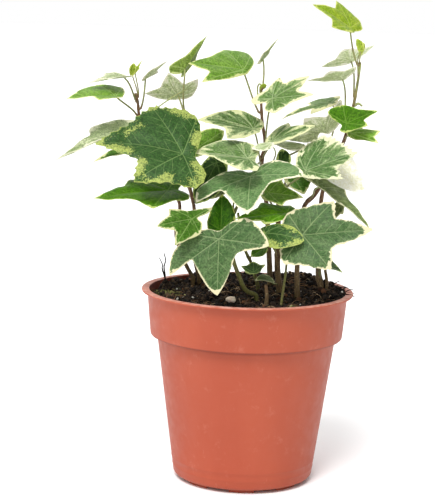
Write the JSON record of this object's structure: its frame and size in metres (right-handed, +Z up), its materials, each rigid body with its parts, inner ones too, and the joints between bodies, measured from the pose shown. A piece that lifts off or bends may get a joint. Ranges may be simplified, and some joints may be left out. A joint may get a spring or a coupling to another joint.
{
  "type": "potted ivy plant",
  "caption": "Variegated ivy with woody shoots and lobed green and cream leaves, growing in a round terracotta-coloured plastic nursery pot with a banded rim.",
  "frame": {"origin": "centre of the underside of the pot, on the surface it stands on", "axes": "+Z up along the axis of the pot, +X to the right and -Y towards the front of the plant"},
  "size_m": [0.1813, 0.122, 0.2718],
  "materials": {
    "terracotta_plastic": "satin moulded terracotta plastic",
    "potting_soil": "moist dark crumbly peat compost",
    "woody_stem": "brown woody ivy shoot",
    "green_stem": "young olive green ivy shoot",
    "ivy_variegated": "waxy grey green leaf with a cream margin",
    "ivy_dark": "waxy dark green leaf with a paler margin",
    "ivy_bright": "soft bright green young leaf",
    "ivy_cream": "mostly cream coloured leaf",
    "ivy_pale_back": "dull pale leaf seen from its underside"
  },
  "bodies": {
    "root": {"pot": "terracotta_plastic", "soil": "potting_soil", "shoot_left": "woody_stem", "shoot_inner_left": "woody_stem", "shoot_centre": "woody_stem", "shoot_stout": "woody_stem", "shoot_right": "woody_stem", "shoot_back_right": "woody_stem", "shoot_front": "green_stem", "shoot_low": "green_stem", "leaf_left_wide": "ivy_bright", "leaf_left_thin": "ivy_pale_back", "leaf_left_bud": "ivy_bright", "leaf_left_inner": "ivy_pale_back", "leaf_back_tall": "ivy_pale_back", "leaf_back_pale": "ivy_pale_back", "leaf_top_bright": "ivy_bright", "leaf_top_centre": "ivy_pale_back", "leaf_upper_cream": "ivy_variegated", "leaf_upper_strip": "ivy_pale_back", "leaf_top_grey": "ivy_pale_back", "leaf_top_right": "ivy_bright", "leaf_top_bud": "ivy_bright", "leaf_front_large": "ivy_dark", "leaf_left_drooping": "ivy_pale_back", "leaf_left_hidden": "ivy_bright", "leaf_left_lower": "ivy_bright", "leaf_centre_cream": "ivy_variegated", "leaf_centre_behind": "ivy_variegated", "leaf_centre_long": "ivy_variegated", "leaf_centre_shaded": "ivy_dark", "leaf_centre_large": "ivy_variegated", "leaf_front_small": "ivy_variegated", "leaf_low_front": "ivy_variegated", "leaf_upright": "ivy_bright", "leaf_front_bright": "ivy_bright", "leaf_front_triangle": "ivy_bright", "leaf_right_variegated": "ivy_variegated", "leaf_right_cream": "ivy_cream", "leaf_right_drooping": "ivy_dark", "leaf_right_inner": "ivy_variegated", "leaf_right_large": "ivy_variegated", "leaf_front_curled": "ivy_bright", "leaf_soil_fan": "ivy_dark", "leaf_soil_curled": "ivy_variegated", "leaf_right_low": "ivy_dark", "leaf_right_olive": "ivy_dark", "leaf_right_bright": "ivy_bright", "leaf_right_second": "ivy_bright", "leaf_upper_edge": "ivy_variegated", "leaf_upper_broad": "ivy_pale_back", "leaf_centre_narrow": "ivy_variegated", "leaf_centre_grey": "ivy_pale_back", "leaf_cream_small": "ivy_cream", "leaf_centre_dark": "ivy_dark", "leaf_front_grey": "ivy_pale_back", "leaf_low_small": "ivy_bright", "leaf_back_left": "ivy_variegated", "leaf_back_centre": "ivy_variegated", "leaf_back_right": "ivy_variegated"}
  },
  "joints": []
}
